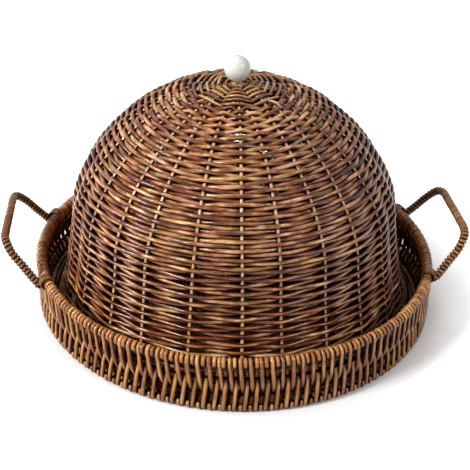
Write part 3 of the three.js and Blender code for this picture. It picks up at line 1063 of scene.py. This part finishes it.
# The centre cross: three short sticks side by side in each of four directions
cross_directions = 4
cross_points = 9
cross_reach = 0.0205
cross_pitch = 0.0034
cross_radius = 0.0016
cross_height = 0.0038
cross_step = 0.0006
runs = []
for direction in range(cross_directions):
    for side in (-1, 0, 1):
        reach = np.linspace(-cross_reach, cross_reach, cross_points)
        angle = math.pi * direction / cross_directions
        offset = cross_pitch * side
        x = reach * math.cos(angle) - offset * math.sin(angle)
        y = reach * math.sin(angle) + offset * math.cos(angle)
        height = np.full(cross_points, cross_height - cross_step * (direction % 2))
        points = np.stack([x, y, height], -1)
        radii = np.full(cross_points, cross_radius)
        runs.append((points, radii, False, straight_up(cross_points), np.zeros(cross_points)))
middle = canes("floor_centre_sticks", runs, cane_sides, draw, half_weave=floor_half_weave)
middle.data.materials.append(ring_finish)
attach(middle, "tray")
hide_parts("floor_centre_cross")


# Handles
# Each is a stick bent to three sides, whose legs end just outside the rim. It is wound from end
# to end with one cane, closely on the bar and more openly on the legs.
handle_foot_half = 0.064
handle_bar_half = 0.052
handle_reach = 0.033
handle_rise = 0.043
handle_drop = 0.0065
handle_corner = 0.020
handle_corner_steps = 40
handle_steps = 90
handle_core_radius = 0.0024
bar_straight_to = 0.034
leg_straight_from = 0.050
wall_half_thick = 0.005
handle_half_thick = 0.004
handle_gap = 0.0003
handle_wrap_middle = 0.0027
bar_wrap_radius = 0.00145
bar_wrap_pitch = 0.0027
leg_wrap_radius = 0.0018
leg_wrap_pitch = 0.0039
wrap_slip = 0.85
wrap_end_turns = 0.2
wrap_steps_per_turn = 14
wrap_swell = 0.06
wrap_swell_pace = 0.37
wrap_half_weave = 0.0038


# The middle line of the right handle, from foot to foot
def handle_line():
    clear = wall_half_thick + handle_half_thick + handle_gap
    slope = math.atan2(handle_rise, handle_reach)
    rim_x = math.sqrt(rim_radius ** 2 - handle_foot_half ** 2)
    foot_out = (clear - handle_drop * math.cos(slope)) / math.sin(slope)
    foot_x = rim_x + foot_out / math.cos(math.asin(handle_foot_half / rim_radius))
    foot = np.array([foot_x, -handle_foot_half, rim_height - handle_drop])
    corner = foot + np.array([handle_reach, handle_foot_half - handle_bar_half, handle_rise])
    leg = (corner - foot) / np.linalg.norm(corner - foot)
    bend_in = corner - leg * handle_corner
    bend_out = corner + np.array([0, handle_corner, 0])
    t = np.linspace(0, 1, handle_corner_steps)[:, None]
    bend = (1 - t) ** 2 * bend_in + 2 * (1 - t) * t * corner + t ** 2 * bend_out
    half = np.vstack([foot, bend])
    whole = np.vstack([half, (half * np.array([1, -1, 1]))[::-1]])
    return even_points(whole, handle_steps)


# A size that differs between bar and legs, and changes in the bends between them
def by_bar_and_leg(points, on_bar, on_leg):
    return np.interp(np.abs(points[:, 1]), [bar_straight_to, leg_straight_from], [on_bar, on_leg])


# Two directions square to a handle's line, by which the turns of a cane go round it. They are
# reckoned from a direction that no stretch of a handle follows.
beside_handle = np.array([0.62, 0.0, 0.78])


def square_to(line):
    ahead = np.gradient(line, axis=0)
    ahead /= np.linalg.norm(ahead, axis=1)[:, None]
    side = np.cross(ahead, beside_handle)
    side /= np.linalg.norm(side, axis=1)[:, None]
    return side, np.cross(ahead, side)


# The cane wound round a handle. It lies square to the stick on top and moves on underneath.
def wound_round(points):
    length = length_along(points)
    pitch = by_bar_and_leg(points, bar_wrap_pitch, leg_wrap_pitch)
    turns = np.concatenate([[0], np.cumsum(np.diff(length) * 2 / (pitch[1:] + pitch[:-1]))])
    count = int(turns[-1] * wrap_steps_per_turn)
    turned = np.linspace(wrap_end_turns, turns[-1] - wrap_end_turns, count)
    angle = 2 * math.pi * turned

    def point_at(turn):
        even = np.interp(turn, turns, length)
        return np.stack([np.interp(even, length, points[:, k]) for k in range(3)], -1)

    side, other = square_to(point_at(turned))
    underneath = np.arctan2(-other[:, 2], -side[:, 2])
    line = point_at(turned + wrap_slip * np.sin(angle - underneath) / (2 * math.pi))
    way = np.cos(angle)[:, None] * side + np.sin(angle)[:, None] * other
    return line + handle_wrap_middle * way, way


wrap_finish = cane_finish(
    "wrap_rattan",
    [
        (0.25, srgb(72, 38, 22)),
        (0.45, srgb(128, 80, 46)),
        (0.6, srgb(172, 118, 72)),
        (0.8, srgb(220, 170, 116)),
    ],
    tone_share=0.2,
    patch_length=22.0,
    dark=(0.05, 0.36, 0.05),
    hues=((1.0, 0.92, 0.86, 1), (0.95, 1.03, 0.78, 1)),
    coat=0.9,
)
draw = np.random.default_rng(71)
for side, facing in (("right", 1), ("left", -1)):
    line = handle_line() * np.array([facing, facing, 1])
    radii = np.full(handle_steps, handle_core_radius)
    run = (settle(line), radii, False, straight_up(handle_steps), np.zeros(handle_steps))
    core = canes(f"handle_{side}_stick", [run], cane_sides, draw)
    core.data.materials.append(ring_finish)
    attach(core, "tray")
    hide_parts(f"handle_{side}_core")
    wound, way = wound_round(line[1:-1])
    radii = by_bar_and_leg(wound, bar_wrap_radius, leg_wrap_radius)
    radii = radii * (1 + wrap_swell * np.sin(np.arange(len(wound)) * wrap_swell_pace))
    run = (settle(wound), radii, False, way, np.full(len(wound), handle_wrap_middle))
    name = f"handle_{side}_winding"
    wrap = canes(name, [run], fine_cane_sides, draw, half_weave=wrap_half_weave)
    wrap.data.materials.append(wrap_finish)
    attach(wrap, "tray")
    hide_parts(f"handle_{side}_wrap")


# Lashings
# At each leg of a handle one cane goes round leg and rim together, in a few tight loops. They
# hold the handle to the tray, and reach further out than in, because the leg lies outside.
lashing_loops = 4
lashing_points = 24
lashing_radius = 0.0012
lashing_pitch = 0.0026
lashing_half_width = 0.0055
lashing_bulge_out = 0.0010
lashing_shift_out = 0.0012
lashing_half_height = 0.0051
lashing_slant = 0.004
lashing_slant_from = 0.6
lashing_middle = 0.0062
lashing_half_weave = 0.0072
foot_azimuth = math.asin(handle_foot_half / rim_radius)
draw = np.random.default_rng(84)
for side, facing in (("right", 1), ("left", -1)):
    mirrored = np.array([facing, 1, 1])
    for end, toward in (("front", -1), ("back", 1)):
        runs = []
        for loop in range(lashing_loops):
            shift = (loop - (lashing_loops - 1) / 2) * lashing_pitch / rim_radius
            angle = 2 * math.pi * np.arange(lashing_points) / lashing_points
            reach = lashing_half_width + lashing_bulge_out * np.cos(angle)
            out = rim_radius + reach * np.cos(angle) + lashing_shift_out
            height = rim_height + lashing_half_height * np.sin(angle)
            slant = lashing_slant * np.sin(angle + lashing_slant_from)
            azimuth = toward * (foot_azimuth + shift) + slant
            points = settle(ring_points(out, azimuth, height) * mirrored)
            way = ring_points(np.cos(angle), azimuth, np.sin(angle)) * mirrored
            radii = np.full(lashing_points, lashing_radius)
            offset = np.full(lashing_points, lashing_middle)
            runs.append((points, radii, True, way, offset))
        name = f"lashing_{side}_{end}_loops"
        lashing = canes(name, runs, fine_cane_sides, draw, half_weave=lashing_half_weave)
        lashing.data.materials.append(wrap_finish)
        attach(lashing, "tray")
        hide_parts(f"lashing_{side}_{end}")
